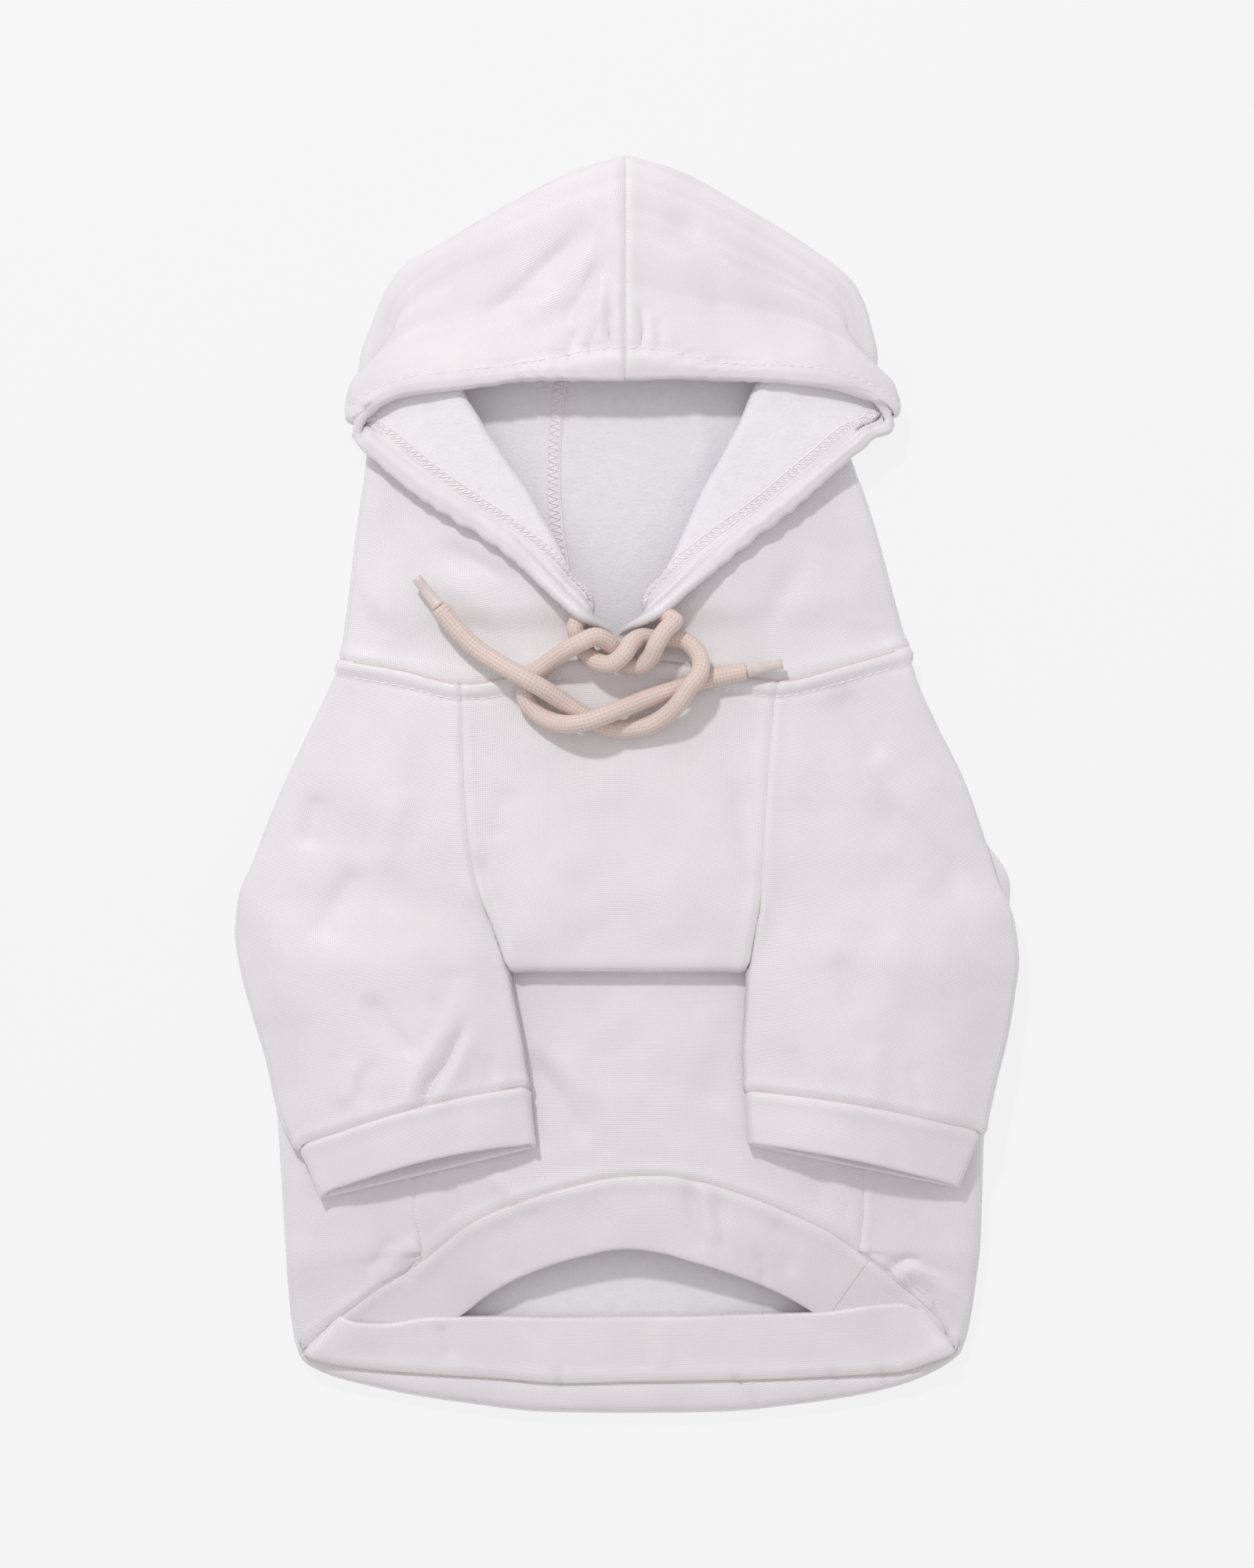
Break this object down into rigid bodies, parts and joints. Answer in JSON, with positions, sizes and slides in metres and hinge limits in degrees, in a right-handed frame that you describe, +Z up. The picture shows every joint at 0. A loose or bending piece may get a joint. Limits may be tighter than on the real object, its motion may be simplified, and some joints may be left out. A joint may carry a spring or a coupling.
{
  "type": "dog hoodie",
  "caption": "Small dog's hooded sweatshirt in pale brushed-back knit, laid on its back: drawstring hood, raglan sleeves with cuffs, arched hem band.",
  "frame": {"origin": "centre of the garment's outline, on the surface that it lies on", "axes": "+Y from hem to hood, +Z up out of the chest, +X towards the viewer's right when seen from above with the hood at the top"},
  "size_m": [0.249, 0.4005, 0.0275],
  "materials": {
    "pale_knit": "satin-faced rib-free knit, brushed fleece inside",
    "beige_braid": "round woven braid",
    "beige_plastic": "translucent, slightly glossy"
  },
  "bodies": {
    "root": {"hood_left": "pale_knit", "hood_right": "pale_knit", "back_panel": "pale_knit", "belly_panel": "pale_knit", "sleeve_left": "pale_knit", "sleeve_right": "pale_knit", "cuff_left": "pale_knit", "cuff_right": "pale_knit", "hem_band": "pale_knit", "drawstring_left": "beige_braid", "drawstring_right": "beige_braid", "aglet_left": "beige_plastic", "aglet_right": "beige_plastic"}
  },
  "joints": []
}
